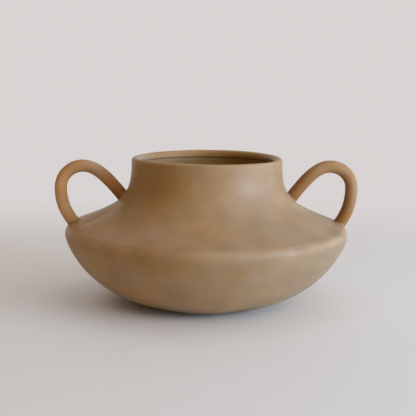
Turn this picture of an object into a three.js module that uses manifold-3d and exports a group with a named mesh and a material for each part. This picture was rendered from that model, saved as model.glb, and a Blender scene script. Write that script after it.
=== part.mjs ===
// A low, wide stoneware vase with a sharp belly edge, a short neck and two coil handles.
// It is hand built in sections: a base slab, a bowl, a shoulder, a neck collar and a lip coil,
// keyed and luted together with slip, with two bent coils set on the shoulder as handles.
// Millimetres, +Z up. The origin is on the floor under the centre, and the handles lie along X.

import * as THREE from 'three';
import { mergeVertices } from 'three/addons/utils/BufferGeometryUtils.js';
import Module from 'manifold-3d';

// Body sizes
const RIM_HEIGHT = 145.5;
const BELLY_RADIUS = 140;
const BELLY_HEIGHT = 70;
const NECK_RADIUS = 74.4;
const WALL = 5.5;

// Curves of the outer wall: slopes in degrees, and each fullness is a share of the curve's own span
const BOWL_SLOPE = 4.2;
const BOWL_FOOT_FULLNESS = 0.7;
const BOWL_BELLY_FULLNESS = 0.15;
const RIDGE_ROUND = 9;
const SHOULDER_SLOPE = 20.4;
const SHOULDER_FULLNESS = 0.84;
const NECK_FULLNESS = 0.58;

// Base slab: the ring that it stands on, the recess inside the ring and the ledge that carries the bowl
const FOOT_RADIUS = 52;
const FOOT_BEVEL = 0.8;
const FOOT_LIFT = 1.2;
const RING_WIDTH = 12;
const RECESS_DEPTH = 1.5;
const LEDGE_WIDTH = 7;
const LEDGE_HEIGHT = 3.6;

// Neck collar and lip coil: the coil rolls in over the neck's bore and hangs a little below its own seam
const COLLAR_HEIGHT = 24;
const LIP_HEIGHT = 6.5;
const LIP_CORNER_WIDTH = 3;
const LIP_CORNER_HEIGHT = 4.4;
const LIP_TOP_FULLNESS = 0.7;
const LIP_INSIDE_FULLNESS = 0.5;
const LIP_ROLL = 2;
const LIP_HANG = 1.6;

// Seams: a V key centres each section on the one below, and slip fills the gap
const KEY_WIDTH = 2.4;
const KEY_HEIGHT = 1.6;
const SLIP_GAP = 0.3;

// Handles: a round coil whose feet stand on the shoulder, leaning outwards by degrees from level
const COIL_DIAMETER = 12.3;
const LOWER_FOOT_INSET = 7.5;
const LOWER_FOOT_LEAN = 52;
const UPPER_FOOT_OFFSET = 9.5;
const UPPER_FOOT_LEAN = 51;
const HANDLE_OVERHANG = 4.4;
const CROWN_INSET = 17.8;
const CROWN_DROP = 9.5;
const FLANK_DROP = 22;
const LOWER_LIMB_FULLNESS = 0.36;
const BEND_FULLNESS = 0.4;
const CROWN_FULLNESS = 0.25;
const UPPER_LIMB_FULLNESS = 0.49;
const FILLET_SIZE = 1.8;
const FILLET_TAPER = 0.9;

// Facets
const ROUND_FACETS = 52;
const BOWL_STEPS = 10;
const RIDGE_STEPS = 4;
const SHOULDER_STEPS = 10;
const LIP_STEPS = 4;
const ROLL_STEPS = 3;
const COIL_SIDES = 14;
const HANDLE_STEPS = 30;
const FILLET_FACETS = 28;

// An offset point may be this share closer to the wall before it counts as part of a loop
const OFFSET_SLACK = 0.03;

const wasm = await Module();
wasm.setup();

const point = (radius, height) => new THREE.Vector2(radius, height);
const direction = (degrees) => point(1, 0).rotateAround(point(0, 0), THREE.MathUtils.degToRad(degrees));
const along = (start, heading, distance) => start.clone().addScaledVector(heading, distance);

// The outer wall from the foot to the rim: bowl, rounded belly edge, the sweep of shoulder and neck, lip
function outerWall() {
  const foot = point(FOOT_RADIUS + SLIP_GAP, FOOT_LIFT);
  const belly = point(BELLY_RADIUS, BELLY_HEIGHT);
  const bowl = new THREE.CubicBezierCurve(
    foot,
    along(foot, direction(BOWL_SLOPE), BOWL_FOOT_FULLNESS * (belly.x - foot.x)),
    along(belly, direction(-90), BOWL_BELLY_FULLNESS * (belly.y - foot.y)),
    belly,
  );
  const ridgeTurn = THREE.MathUtils.degToRad(90 - SHOULDER_SLOPE);
  const ridge = new THREE.EllipseCurve(
    belly.x - RIDGE_ROUND, belly.y, RIDGE_ROUND, RIDGE_ROUND, 0, ridgeTurn,
  );
  const edge = ridge.getPoint(1);
  const neck = point(NECK_RADIUS, RIM_HEIGHT - LIP_HEIGHT);
  const sweep = new THREE.CubicBezierCurve(
    edge,
    along(edge, direction(180 - SHOULDER_SLOPE), SHOULDER_FULLNESS * (edge.x - neck.x)),
    along(neck, direction(-90), NECK_FULLNESS * (neck.y - edge.y)),
    neck,
  );
  return [
    ...bowl.getPoints(BOWL_STEPS),
    ...ridge.getPoints(RIDGE_STEPS).slice(1),
    ...sweep.getPoints(SHOULDER_STEPS).slice(1),
    point(NECK_RADIUS, RIM_HEIGHT),
  ];
}

// How far a point lies from the nearest part of a wall
function distanceToWall(wall, spot) {
  const gaps = wall.slice(1).map((end, i) => {
    const side = end.clone().sub(wall[i]);
    const share = spot.clone().sub(wall[i]).dot(side) / side.lengthSq();
    return spot.distanceTo(along(wall[i], side, THREE.MathUtils.clamp(share, 0, 1)));
  });
  return Math.min(...gaps);
}

// The wall moved inwards by a distance, or outwards where it is negative, without loops in tight bends
function offsetWall(wall, distance) {
  const moved = wall.map((spot, i) => {
    const before = wall[Math.max(i - 1, 0)];
    const after = wall[Math.min(i + 1, wall.length - 1)];
    const inwards = after.clone().sub(before).normalize().rotateAround(point(0, 0), Math.PI / 2);
    return along(spot, inwards, distance);
  });
  const least = (1 - OFFSET_SLACK) * Math.abs(distance);
  return moved.filter((spot) => distanceToWall(wall, spot) > least);
}

// The point of a rising wall at a height
function atHeight(wall, height) {
  const next = wall.findIndex((spot, i) => i > 0 && spot.y >= height);
  const [low, high] = [wall[next - 1], wall[next]];
  const spot = low.clone().lerp(high, (height - low.y) / (high.y - low.y));
  return point(spot.x, height);
}

// The stretch of a rising wall between two heights, with a point on each
function stretch(wall, low, high) {
  const between = wall.filter((spot) => spot.y > low && spot.y < high);
  return [atHeight(wall, low), ...between, atHeight(wall, high)];
}

const OUTER = outerWall();
const INNER = offsetWall(OUTER, WALL);
const LIP_SEAM = RIM_HEIGHT - LIP_HEIGHT;
const NECK_SEAM = LIP_SEAM - COLLAR_HEIGHT;
const FLOOR_HEIGHT = INNER[0].y;
const COIL_RADIUS = COIL_DIAMETER / 2;

// The V key across a seam, from the outer side to the inner: the groove is the tongue grown by the gap
function key(height, gap) {
  const middle = (atHeight(OUTER, height).x + atHeight(INNER, height).x) / 2;
  const half = KEY_WIDTH / 2;
  const flank = Math.hypot(half, KEY_HEIGHT);
  const reach = half + gap * flank / KEY_HEIGHT;
  const tip = KEY_HEIGHT + gap * flank / half;
  return [point(middle + reach, height), point(middle, height + tip), point(middle - reach, height)];
}

const tongue = (height) => key(height, 0);
const groove = (height) => key(height, SLIP_GAP).reverse();

// A profile turned round the upright axis, and a closed loop turned into a ring
function turned(profile, facets = ROUND_FACETS) {
  return new THREE.LatheGeometry(profile, facets).rotateX(Math.PI / 2);
}

const ring = (loop) => turned([...loop, loop[0]]);

// The base slab: the bowl stands on its ledge, and the middle fills the bowl's floor
function baseDisc() {
  const recessRadius = FOOT_RADIUS - RING_WIDTH;
  const bossRadius = FOOT_RADIUS - LEDGE_WIDTH;
  return turned([
    point(0, RECESS_DEPTH),
    point(recessRadius - RECESS_DEPTH, RECESS_DEPTH),
    point(recessRadius, 0),
    point(FOOT_RADIUS - FOOT_BEVEL, 0),
    point(FOOT_RADIUS, FOOT_BEVEL),
    point(FOOT_RADIUS, LEDGE_HEIGHT),
    point(bossRadius, LEDGE_HEIGHT),
    point(bossRadius, FLOOR_HEIGHT),
    point(0, FLOOR_HEIGHT),
  ]);
}

// The bowl: its floor laps over the base slab, and its upper edge carries the tongue of the belly seam
function lowerBowl() {
  const holeRadius = FOOT_RADIUS - LEDGE_WIDTH + SLIP_GAP;
  return ring([
    ...stretch(OUTER, FOOT_LIFT, BELLY_HEIGHT),
    ...tongue(BELLY_HEIGHT),
    ...stretch(INNER, FLOOR_HEIGHT, BELLY_HEIGHT).reverse(),
    point(holeRadius, FLOOR_HEIGHT),
    point(holeRadius, LEDGE_HEIGHT),
    point(OUTER[0].x, LEDGE_HEIGHT),
  ]);
}

// A wall section between two seams, with a groove below and a tongue above
function wallSection(low, high) {
  return ring([
    ...groove(low),
    ...stretch(OUTER, low, high),
    ...tongue(high),
    ...stretch(INNER, low, high).reverse(),
  ]);
}

// The lip coil: a rounded outer corner, a top that slopes to the inside, and a roll over the neck's bore
function lipRing() {
  const boreRadius = atHeight(INNER, LIP_SEAM).x;
  const hangRadius = boreRadius - SLIP_GAP;
  const corner = new THREE.EllipseCurve(
    NECK_RADIUS - LIP_CORNER_WIDTH, RIM_HEIGHT - LIP_CORNER_HEIGHT,
    LIP_CORNER_WIDTH, LIP_CORNER_HEIGHT, 0, Math.PI / 2,
  );
  const crest = corner.getPoint(1);
  const inside = point(boreRadius - LIP_ROLL, LIP_SEAM + LIP_ROLL);
  const top = new THREE.CubicBezierCurve(
    crest,
    along(crest, direction(180), LIP_TOP_FULLNESS * (crest.x - inside.x)),
    along(inside, direction(90), LIP_INSIDE_FULLNESS * (crest.y - inside.y)),
    inside,
  );
  const roll = new THREE.EllipseCurve(
    hangRadius, LIP_SEAM - LIP_HANG + LIP_ROLL,
    LIP_ROLL - SLIP_GAP, LIP_ROLL, Math.PI, 1.5 * Math.PI,
  );
  return ring([
    ...groove(LIP_SEAM),
    point(NECK_RADIUS, LIP_SEAM),
    ...corner.getPoints(LIP_STEPS),
    ...top.getPoints(LIP_STEPS).slice(1),
    ...roll.getPoints(ROLL_STEPS),
    point(hangRadius, LIP_SEAM),
  ]);
}

// The outer wall's point at a radius above the belly, where a handle foot stands
function shoulderAt(radius) {
  const next = OUTER.findIndex((spot) => spot.y > BELLY_HEIGHT && spot.x <= radius);
  const [low, high] = [OUTER[next - 1], OUTER[next]];
  return low.clone().lerp(high, (low.x - radius) / (low.x - high.x));
}

const lowerFoot = { spot: shoulderAt(BELLY_RADIUS - LOWER_FOOT_INSET), lean: direction(LOWER_FOOT_LEAN) };
const upperFoot = { spot: shoulderAt(NECK_RADIUS + UPPER_FOOT_OFFSET), lean: direction(UPPER_FOOT_LEAN) };

const inPlane = (spot) => new THREE.Vector3(spot.x, 0, spot.y);

// A smooth curve between two points that leaves and arrives along the given headings
function limb(start, leaving, leaveFullness, end, arriving, arriveFullness) {
  const span = start.distanceTo(end);
  const controls = [
    start,
    along(start, leaving, leaveFullness * span),
    along(end, arriving, -arriveFullness * span),
    end,
  ];
  return new THREE.CubicBezierCurve3(...controls.map(inPlane));
}

// The middle of the right handle's coil: from inside the wall over flank and crown and back into the wall
function handlePath() {
  const crown = point(BELLY_RADIUS - CROWN_INSET, RIM_HEIGHT - CROWN_DROP);
  const flank = point(BELLY_RADIUS + HANDLE_OVERHANG, crown.y - FLANK_DROP);
  const [up, inwards] = [direction(90), direction(180)];
  const down = upperFoot.lean.clone().negate();
  const root = (foot) => inPlane(along(foot.spot, foot.lean, -COIL_DIAMETER));
  const path = new THREE.CurvePath();
  path.add(new THREE.LineCurve3(root(lowerFoot), inPlane(lowerFoot.spot)));
  path.add(limb(lowerFoot.spot, lowerFoot.lean, LOWER_LIMB_FULLNESS, flank, up, LOWER_LIMB_FULLNESS));
  path.add(limb(flank, up, BEND_FULLNESS, crown, inwards, BEND_FULLNESS));
  path.add(limb(crown, inwards, CROWN_FULLNESS, upperFoot.spot, down, UPPER_LIMB_FULLNESS));
  path.add(new THREE.LineCurve3(inPlane(upperFoot.spot), root(upperFoot)));
  return path;
}

// A round coil of clay along a path
function coil(path, radius) {
  const corners = Array.from({ length: COIL_SIDES }, (_, i) =>
    point(radius, 0).rotateAround(point(0, 0), (2 * Math.PI * i) / COIL_SIDES));
  const settings = { steps: HANDLE_STEPS, bevelEnabled: false, extrudePath: path };
  return new THREE.ExtrudeGeometry(new THREE.Shape(corners), settings);
}

// A closed geometry as a solid that can be cut, without its zero-width triangles
function solid(geometry) {
  const bare = geometry.clone();
  bare.deleteAttribute('normal');
  bare.deleteAttribute('uv');
  const merged = mergeVertices(bare);
  const corners = merged.index.array;
  const triangles = [];
  for (let i = 0; i < corners.length; i += 3) {
    const triangle = corners.slice(i, i + 3);
    if (new Set(triangle).size === 3) triangles.push(...triangle);
  }
  return new wasm.Manifold(new wasm.Mesh({
    numProp: 3,
    vertProperties: new Float32Array(merged.attributes.position.array),
    triVerts: new Uint32Array(triangles),
  }));
}

// A cut solid as a geometry again
function geometryOf(cut) {
  const mesh = cut.getMesh();
  const geometry = new THREE.BufferGeometry();
  geometry.setAttribute('position', new THREE.BufferAttribute(mesh.vertProperties, mesh.numProp));
  geometry.setIndex(new THREE.BufferAttribute(mesh.triVerts, 1));
  geometry.computeVertexNormals();
  return geometry;
}

// The whole body as one filled shape, grown by a gap
function bodyGrownBy(gap) {
  const wall = offsetWall(OUTER, -gap);
  return solid(turned([
    point(0, wall[0].y),
    ...wall,
    point(0, wall[wall.length - 1].y),
  ]));
}

const handleCentre = handlePath();
const bodyAndSlip = bodyGrownBy(SLIP_GAP);
const handleAndSlip = solid(coil(handleCentre, COIL_RADIUS + SLIP_GAP));

// A handle: its two ends are scribed to the shoulder
function handle() {
  return geometryOf(solid(coil(handleCentre, COIL_RADIUS)).subtract(bodyAndSlip));
}

// The collar of slip round a handle foot: a band about the coil, as high as it is wide, that thins upwards
function slipFillet(foot) {
  const outside = COIL_RADIUS + SLIP_GAP + FILLET_SIZE;
  const sleeve = turned([
    point(0, -COIL_RADIUS),
    point(outside, -COIL_RADIUS),
    point(outside, 0),
    point(outside - FILLET_TAPER, FILLET_SIZE),
    point(0, FILLET_SIZE),
  ], FILLET_FACETS);
  const upright = new THREE.Vector3(0, 0, 1);
  sleeve.applyQuaternion(new THREE.Quaternion().setFromUnitVectors(upright, inPlane(foot.lean)));
  sleeve.translate(foot.spot.x, 0, foot.spot.y);
  const band = solid(sleeve).intersect(bodyGrownBy(SLIP_GAP + FILLET_SIZE));
  return geometryOf(band.subtract(bodyAndSlip).subtract(handleAndSlip));
}

// Fired clay with a satin surface, the bare slab below and the slip in the joints
const clay = new THREE.MeshStandardMaterial({ color: 0x9e7e59, roughness: 0.55, metalness: 0 });
const bareClay = new THREE.MeshStandardMaterial({ color: 0xa98c6c, roughness: 0.9, metalness: 0 });
const slip = new THREE.MeshStandardMaterial({ color: 0x8e7052, roughness: 0.65, metalness: 0 });

function piece(name, geometry, material) {
  const mesh = new THREE.Mesh(geometry, material);
  mesh.name = name;
  return mesh;
}

const vase = new THREE.Group();
vase.add(
  piece('base_disc', baseDisc(), bareClay),
  piece('lower_bowl', lowerBowl(), clay),
  piece('shoulder', wallSection(BELLY_HEIGHT, NECK_SEAM), clay),
  piece('neck_collar', wallSection(NECK_SEAM, LIP_SEAM), clay),
  piece('lip_ring', lipRing(), clay),
);

// The two sides are alike, half a turn apart
for (const [side, turn] of [['right', 0], ['left', Math.PI]]) {
  const group = new THREE.Group();
  group.rotation.z = turn;
  group.add(
    piece(`${side}_handle`, handle(), clay),
    piece(`${side}_upper_slip_fillet`, slipFillet(upperFoot), slip),
    piece(`${side}_lower_slip_fillet`, slipFillet(lowerFoot), slip),
  );
  vase.add(group);
}

export default vase;
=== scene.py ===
# %% [markdown]
# # A low two-handled vase in fired clay
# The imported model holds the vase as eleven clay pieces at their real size: a base slab, four wall
# sections, two coil handles and the slip round the handle feet. This lesson dresses each of them in
# turn, and then gives the clay its satin, cloudy finish. It works in metres, in the frame's own axes:
# +Z is up, the handles lie along X, and the viewer stands on the -Y side.

# %% Load the frame
import math

import bmesh
import bpy
import numpy as np
from mathutils import Matrix, Vector, noise


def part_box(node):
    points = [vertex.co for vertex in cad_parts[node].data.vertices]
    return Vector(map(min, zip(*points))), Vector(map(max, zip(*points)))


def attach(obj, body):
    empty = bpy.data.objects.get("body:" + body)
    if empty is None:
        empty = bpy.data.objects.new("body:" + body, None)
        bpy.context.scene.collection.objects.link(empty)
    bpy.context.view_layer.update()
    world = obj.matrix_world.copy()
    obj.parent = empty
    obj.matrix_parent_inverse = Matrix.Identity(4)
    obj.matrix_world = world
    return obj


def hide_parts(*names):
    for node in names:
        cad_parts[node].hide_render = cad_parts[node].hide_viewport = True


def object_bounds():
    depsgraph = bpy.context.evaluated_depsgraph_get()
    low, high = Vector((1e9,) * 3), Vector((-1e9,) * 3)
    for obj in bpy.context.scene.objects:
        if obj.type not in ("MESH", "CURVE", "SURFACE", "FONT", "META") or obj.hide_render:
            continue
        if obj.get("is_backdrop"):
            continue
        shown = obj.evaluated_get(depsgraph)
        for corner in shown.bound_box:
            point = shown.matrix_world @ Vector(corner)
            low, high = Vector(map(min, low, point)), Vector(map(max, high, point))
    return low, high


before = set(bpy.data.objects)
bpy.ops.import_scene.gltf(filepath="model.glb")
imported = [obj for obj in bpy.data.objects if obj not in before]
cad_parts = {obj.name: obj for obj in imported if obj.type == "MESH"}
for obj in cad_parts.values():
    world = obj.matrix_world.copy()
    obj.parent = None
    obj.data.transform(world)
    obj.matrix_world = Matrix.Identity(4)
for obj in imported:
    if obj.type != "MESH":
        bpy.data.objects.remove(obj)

scene = bpy.context.scene
scene.view_settings.view_transform = "Standard"
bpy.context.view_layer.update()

# %% [markdown]
# ## Read the sizes from the frame
# Every size that the model already has is read from the boxes of its nodes, so the dressed pieces
# always fit the model. The numbers could be typed in again, but then the two would drift apart. Only
# what the boxes can't tell, such as the shape of the curves, is written here.

# %% Main sizes
bowl_low, bowl_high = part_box("lower_bowl")
slab_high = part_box("base_disc")[1]
lip_low, lip_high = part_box("lip_ring")
BELLY_RADIUS = (bowl_high.x - bowl_low.x) / 2
BELLY_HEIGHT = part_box("shoulder")[0].z
NECK_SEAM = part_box("neck_collar")[0].z
LIP_HANG = 0.0016
LIP_SEAM = lip_low.z + LIP_HANG
RIM_HEIGHT = lip_high.z
NECK_RADIUS = lip_high.x
FOOT_RADIUS = slab_high.x
FLOOR_HEIGHT = slab_high.z
print(f"belly {BELLY_RADIUS:.4f} at {BELLY_HEIGHT:.4f}, neck {NECK_RADIUS:.4f}, rim {RIM_HEIGHT:.4f}")

# %% [markdown]
# ## Camera
# The photograph was taken from a little above the rim with a long lens, so the rim shows as a narrow
# ellipse. The viewpoint could be found by eye, but it was worked out from the widths of the rim and
# the belly and from how far their front edges drop. The vase stands a touch turned and the camera
# leans a little, and both are kept so that the picture lies over the photograph.

# %% Camera
PHOTO_SIDE = 416
FOCAL_PIXELS = 1059.6
SENSOR_WIDTH = 36.0
CAMERA_DISTANCE = 1.0446
CAMERA_ABOVE_BELLY = 0.1831
CAMERA_OFFSET = 0.0014
CAMERA_PITCH = math.radians(8.67)
CAMERA_ROLL = math.radians(0.6)
VASE_TURN = math.radians(1.5)

camera = bpy.data.objects.new("camera", bpy.data.cameras.new("camera"))
camera.data.sensor_width = SENSOR_WIDTH
camera.data.lens = FOCAL_PIXELS / PHOTO_SIDE * SENSOR_WIDTH
around = Matrix.Rotation(-VASE_TURN, 4, "Z")
stand = Matrix.Translation((CAMERA_OFFSET, -CAMERA_DISTANCE, BELLY_HEIGHT + CAMERA_ABOVE_BELLY))
tilt = Matrix.Rotation(math.pi / 2 - CAMERA_PITCH, 4, "X")
lean = Matrix.Rotation(CAMERA_ROLL, 4, "Z")
camera.matrix_world = around @ stand @ tilt @ lean
scene.collection.objects.link(camera)
scene.camera = camera
print(f"lens {camera.data.lens:.1f} mm, camera {camera.matrix_world.translation.z:.3f} m above the floor")

# %% [markdown]
# ## Drawing with curves
# All lines of the clay are drawn from two kinds of curve: a Bezier, which leaves and arrives along
# chosen headings, and a round or oval arc. Blender's curve objects could draw them, but rows of numbers
# can be cut, moved and joined before any mesh is made. Each row holds a radius, a height, and the
# direction that faces out of the clay there.

# %% Curves
def heading(angle):
    """The direction at an angle, in the plane of radius and height."""
    return np.array([math.cos(angle), math.sin(angle)])


def bezier(start, after_start, before_end, end, steps):
    """Points of a Bezier curve and the directions to its right, as rows of four numbers."""
    t = np.linspace(0, 1, steps + 1)[:, None]
    points = ((1 - t) ** 3 * start + 3 * (1 - t) ** 2 * t * after_start
              + 3 * (1 - t) * t ** 2 * before_end + t ** 3 * end)
    ahead = ((1 - t) ** 2 * (after_start - start) + 2 * (1 - t) * t * (before_end - after_start)
             + t ** 2 * (end - before_end))
    ahead /= np.linalg.norm(ahead, axis=1, keepdims=True)
    return np.column_stack([points, ahead[:, 1], -ahead[:, 0]])


def arc(centre, size, start, end, steps):
    """Points of a round or oval arc and the directions out of it, as rows of four numbers."""
    angles = np.linspace(start, end, steps + 1)
    rays = np.column_stack([np.cos(angles), np.sin(angles)])
    out = rays / np.array(size)
    out /= np.linalg.norm(out, axis=1, keepdims=True)
    return np.column_stack([np.array(centre) + rays * np.array(size), out])


print("a heading of 90 degrees points along", heading(math.pi / 2).round(3))

# %% [markdown]
# ## The curve of the wall
# A potter sees the whole wall as one line: the bowl swells from the foot to the widest edge, the edge
# turns over sharply, and the shoulder sweeps in and up into the neck. The line could be traced point by
# point, but two Bezier curves and one small arc draw it with the same slopes as the model and stay
# smooth.

# %% Outer wall
SLIP_GAP = 0.0003
BOWL_SLOPE = math.radians(4.2)
BOWL_FOOT_FULLNESS = 0.70
BOWL_BELLY_FULLNESS = 0.15
RIDGE_ROUND = 0.009
SHOULDER_SLOPE = math.radians(20.4)
SHOULDER_FULLNESS = 0.84
NECK_FULLNESS = 0.58
CURVE_STEPS = 56
RIDGE_STEPS = 14

foot = np.array([FOOT_RADIUS + SLIP_GAP, bowl_low.z])
belly = np.array([BELLY_RADIUS, BELLY_HEIGHT])
neck = np.array([NECK_RADIUS, LIP_SEAM])
bowl_curve = bezier(
    foot,
    foot + BOWL_FOOT_FULLNESS * (belly[0] - foot[0]) * heading(BOWL_SLOPE),
    belly + BOWL_BELLY_FULLNESS * (belly[1] - foot[1]) * heading(-math.pi / 2),
    belly,
    CURVE_STEPS,
)
ridge_turn = math.pi / 2 - SHOULDER_SLOPE
ridge_curve = arc(belly - [RIDGE_ROUND, 0], [RIDGE_ROUND, RIDGE_ROUND], 0, ridge_turn, RIDGE_STEPS)
edge = ridge_curve[-1, :2]
sweep_curve = bezier(
    edge,
    edge + SHOULDER_FULLNESS * (edge[0] - neck[0]) * heading(math.pi - SHOULDER_SLOPE),
    neck + NECK_FULLNESS * (neck[1] - edge[1]) * heading(-math.pi / 2),
    neck,
    CURVE_STEPS,
)
OUTER = np.concatenate([bowl_curve, ridge_curve[1:], sweep_curve[1:]])
print("outer wall:", len(OUTER), "points")

# %% [markdown]
# ## The inside of the wall
# The clay is about five and a half millimetres thick all the way up. A Solidify modifier could thicken
# a bare surface, but a second line lets the inside have rings of its own and the seams their keys. The
# inner line is the outer line moved into the clay, with its directions turned round to face the hollow.

# %% Inner wall
WALL = 0.0055
HAIR = 1e-7
INNER = np.column_stack([OUTER[:, :2] - WALL * OUTER[:, 2:], -OUTER[:, 2:]])


def cut_between(wall, low, high):
    """The stretch of a rising wall from one height to another, with a row exactly on each."""
    inside = wall[(wall[:, 1] > low + HAIR) & (wall[:, 1] < high - HAIR)]
    ends = [[np.interp(z, wall[:, 1], column) for column in wall.T] for z in (low, high)]
    return np.concatenate([ends[:1], inside, ends[1:]])


print(f"inside floor {INNER[0, 1]:.4f}, neck bore {INNER[-1, 0]:.4f}")

# %% [markdown]
# ## Marks of the hand
# Nothing made by hand is quite even. The wall is pressed and wiped, which leaves soft shallow dents,
# the bowl is a little out of round, and the belly edge wavers and has sunk a little in front. A few
# presses have a place of their own: the bowl's underside bulges in front, and a finger has left a
# hollow beside the left handle. A displacement texture could do this, but a few calls of Blender's own
# noise on every point keep the dents in the mesh itself, and one rule for all pieces makes neighbours
# meet without a step. The marks fade out where the handles stand, so that the joints stay tight.
# Inside, fingers leave a slow spiral of rings.

# %% Hand marks
HANDLE_FEET = (BELLY_RADIUS - 0.0075, NECK_RADIUS + 0.0095)
FOOT_CALM = (0.010, 0.030)
DENT_SCALE, DENT_DEPTH = 27.0, 0.00042
WIPE_SCALE, WIPE_DEPTH = 80.0, 0.00007
BOWL_SHIFT, BOWL_TOP = -0.0001, (0.6 * BELLY_HEIGHT, 1.2 * BELLY_HEIGHT)
OUT_OF_ROUND, OVAL_TURN = 0.0004, 0.7
FOOT_TRUE = 0.3 * BELLY_HEIGHT
WAVER_SCALE, WAVER_DEPTH, WAVER_REACH = 13.0, 0.0007, 0.014
FRONT_DIP, DIP_SPAN = 0.0012, (0.2, 0.6)
PRESSES = [
    (Vector((0.003, -0.088, 0.007)), 0.026, 0.0018),
    (Vector((-0.124, -0.030, 0.080)), 0.012, -0.0013),
    (Vector((-0.112, -0.028, 0.086)), 0.012, -0.0013),
    (Vector((-0.101, -0.026, 0.092)), 0.012, -0.0013),
]
RING_PITCH, RING_DEPTH, RING_FADE = 0.0085, 0.00028, 0.006


def wall_height(radius):
    """Height of the outer wall above the belly at a radius."""
    upper = OUTER[CURVE_STEPS:]
    return float(np.interp(radius, upper[::-1, 0], upper[::-1, 1]))


def smooth_step(value, low, high):
    """A share that rises softly from nothing to one between two values."""
    share = min(max((value - low) / (high - low), 0), 1)
    return share * share * (3 - 2 * share)


foot_spots = [Vector((side * r, 0, wall_height(r))) for side in (-1, 1) for r in HANDLE_FEET]
print("heights of the handle feet in mm:", [round(1000 * place.z, 1) for place in foot_spots[:2]])


# %% Rules of the hand
def press_outside(spot, out):
    """A spot of the outside, moved as the hand has pressed it."""
    turn = math.atan2(spot.y, spot.x)
    below = 1 - smooth_step(spot.z, *BOWL_TOP)
    lift = smooth_step(spot.z, 0, FOOT_TRUE)
    true = lift * (BOWL_SHIFT * below * math.cos(turn) + OUT_OF_ROUND * math.sin(2 * turn + OVAL_TURN))
    dents = DENT_DEPTH * noise.noise(spot * DENT_SCALE) + WIPE_DEPTH * noise.noise(spot * WIPE_SCALE)
    dents += sum(depth * math.exp(-((spot - place).length / reach) ** 2) for place, reach, depth in PRESSES)
    near_edge = math.exp(-((spot.z - BELLY_HEIGHT) / WAVER_REACH) ** 2)
    dip = FRONT_DIP * smooth_step(-math.sin(turn), *DIP_SPAN)
    waver = near_edge * (WAVER_DEPTH * noise.noise(spot * WAVER_SCALE) - dip)
    calm = min(smooth_step((spot - place).length, *FOOT_CALM) for place in foot_spots)
    return spot + calm * ((true + dents) * out + Vector((0, 0, waver)))


def ring_inside(spot, out):
    """A spot of the inside, moved as the fingers have drawn it up."""
    turn = math.atan2(spot.y, spot.x)
    fade = 1 - smooth_step(spot.z, LIP_SEAM - RING_FADE, LIP_SEAM)
    return spot + fade * RING_DEPTH * math.sin(math.tau * spot.z / RING_PITCH + turn) * out


def leave_plain(spot, out):
    """A spot that no hand has moved."""
    return spot


print("deepest dent in mm:", round(1000 * (DENT_DEPTH + WIPE_DEPTH), 2))

# %% [markdown]
# ## Turning an outline into a clay ring
# A wall section is an outline in cross-section, turned once round the upright axis. Blender's Screw
# modifier could turn it, but building the rings of points in mesh code lets every point take its own
# hand marks. Each stretch of an outline comes with the rule that marks it.

# %% Pieces
SHARP_ANGLE = math.radians(38)
WELD = 1e-6
made = {}


def add_piece(name, bm):
    """A finished mesh as an object in the scene, smooth apart from its sharp edges."""
    bmesh.ops.remove_doubles(bm, verts=bm.verts, dist=WELD)
    bmesh.ops.recalc_face_normals(bm, faces=bm.faces)
    mesh = bpy.data.meshes.new(name)
    bm.to_mesh(mesh)
    bm.free()
    mesh.shade_smooth()
    mesh.set_sharp_from_angle(angle=SHARP_ANGLE)
    made[name] = bpy.data.objects.new(name, mesh)
    scene.collection.objects.link(made[name])
    print(f"{name}: {len(mesh.vertices)} points, {len(mesh.polygons)} faces")


def join_rings(bm, rings, closed):
    """Quads between neighbouring rings of points, and between the last and the first if closed."""
    pairs = list(zip(rings, rings[1:]))
    if closed:
        pairs.append((rings[-1], rings[0]))
    for near, far in pairs:
        for i in range(len(near)):
            j = (i + 1) % len(near)
            bm.faces.new((near[i], near[j], far[j], far[i]))


print(f"edges over {math.degrees(SHARP_ANGLE):.0f} degrees stay sharp")

# %% Turning
TURN_STEPS = 240


def stretch(rows, rule=leave_plain):
    """Rows of an outline and their rule; a row of only a radius and a height gets no direction."""
    rows = np.atleast_2d(np.array(rows, float))
    if rows.shape[1] == 2:
        rows = np.column_stack([rows, np.zeros_like(rows)])
    return rows, rule


def turn_outline(name, *stretches):
    """A closed outline, or one that starts and ends on the axis, turned round the upright axis."""
    bm = bmesh.new()
    rings = []
    for rows, rule in stretches:
        for radius, height, out, up in rows:
            ring = []
            for step in range(TURN_STEPS):
                turn = math.tau * step / TURN_STEPS
                ray = Vector((math.cos(turn), math.sin(turn), 0))
                spot = ray * radius + Vector((0, 0, height))
                ring.append(bm.verts.new(rule(spot, ray * out + Vector((0, 0, up)))))
            rings.append(ring)
    starts_on_axis = stretches[0][0][0, 0] < WELD
    join_rings(bm, rings, closed=not starts_on_axis)
    add_piece(name, bm)


print(f"points round the belly lie {1000 * math.tau * BELLY_RADIUS / TURN_STEPS:.1f} mm apart")

# %% [markdown]
# ## Base slab
# The slab is the flat disc that the vase stands on. On the real piece its underside is wiped bare and
# turned out a little in the middle, so that it stands on a ring and doesn't rock. The bowl sits on its
# ledge. A cylinder with bevels could stand for it, but a turned outline gives the recess and the ledge
# in one go, with the ring's edges rounded as a sponge leaves them.

# %% Base slab
RING_WIDTH = 0.012
RECESS_DEPTH = 0.0015
LEDGE_WIDTH = 0.007
LEDGE_HEIGHT = 0.0036
SPONGED_EDGE = 0.0009
RECESS_STEPS, HOLLOW_STEPS, EDGE_STEPS, BOSS_STEPS = 7, 6, 5, 9

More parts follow.
